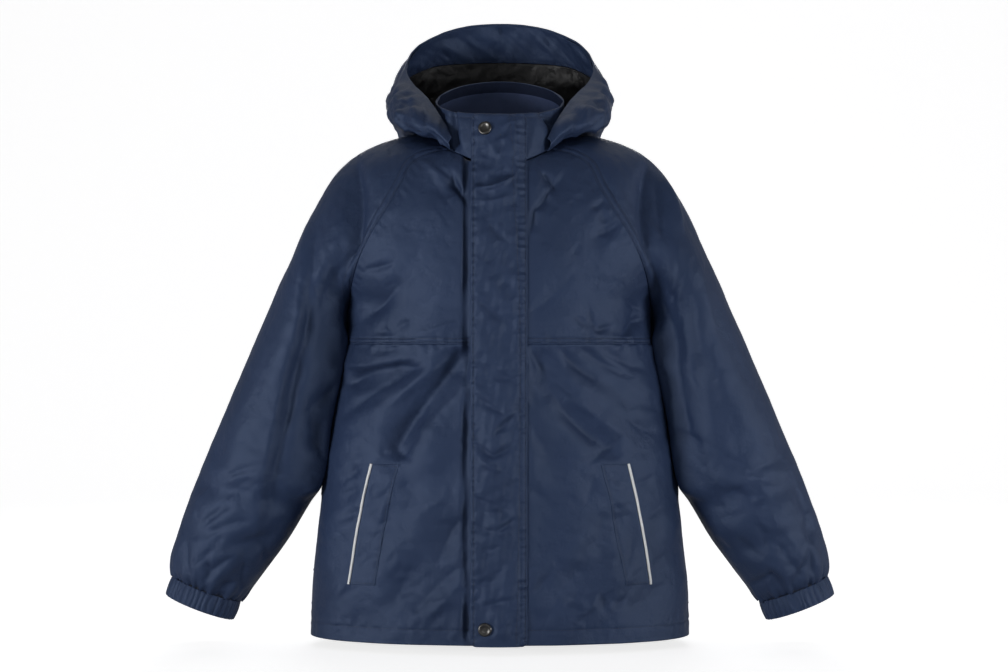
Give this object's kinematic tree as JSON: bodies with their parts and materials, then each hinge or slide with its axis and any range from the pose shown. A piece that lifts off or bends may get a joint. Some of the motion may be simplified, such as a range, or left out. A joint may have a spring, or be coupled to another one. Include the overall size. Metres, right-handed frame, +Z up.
{
  "type": "child's hooded raincoat",
  "caption": "Hollow worn-shape child's raincoat with lowered hood, raglan sleeves, elastic cuffs, storm flap over a zip and piped slanted pockets.",
  "frame": {"origin": "middle of the neck at the height of the side of the neck, where the wearer holds the coat up", "axes": "+X to the wearer's left, -Y out of the front, +Z up"},
  "size_m": [0.7292, 0.2782, 0.6825],
  "materials": {
    "shell_cloth": "navy woven polyester with a slight sheen",
    "lining_cloth": "black smooth lining",
    "piping": "pale silver reflective piping",
    "zip": "dark zip tape and coil",
    "snap_metal": "gunmetal"
  },
  "bodies": {
    "root": {"front_upper_right": "shell_cloth", "front_upper_left": "shell_cloth", "front_lower_right": "shell_cloth", "front_lower_left": "shell_cloth", "back": "shell_cloth", "sleeve_right": "shell_cloth", "sleeve_left": "shell_cloth", "cuff_right": "shell_cloth", "cuff_left": "shell_cloth", "collar": "shell_cloth", "hood_right": "shell_cloth", "hood_left": "shell_cloth", "hood_facing": "shell_cloth", "storm_flap": "shell_cloth", "pocket_welt_right": "shell_cloth", "pocket_welt_left": "shell_cloth", "hood_lining": "lining_cloth", "piping_right": "piping", "piping_left": "piping", "zip": "zip", "snap_top": "snap_metal", "snap_bottom": "snap_metal", "zip_slider": "snap_metal"}
  },
  "joints": []
}
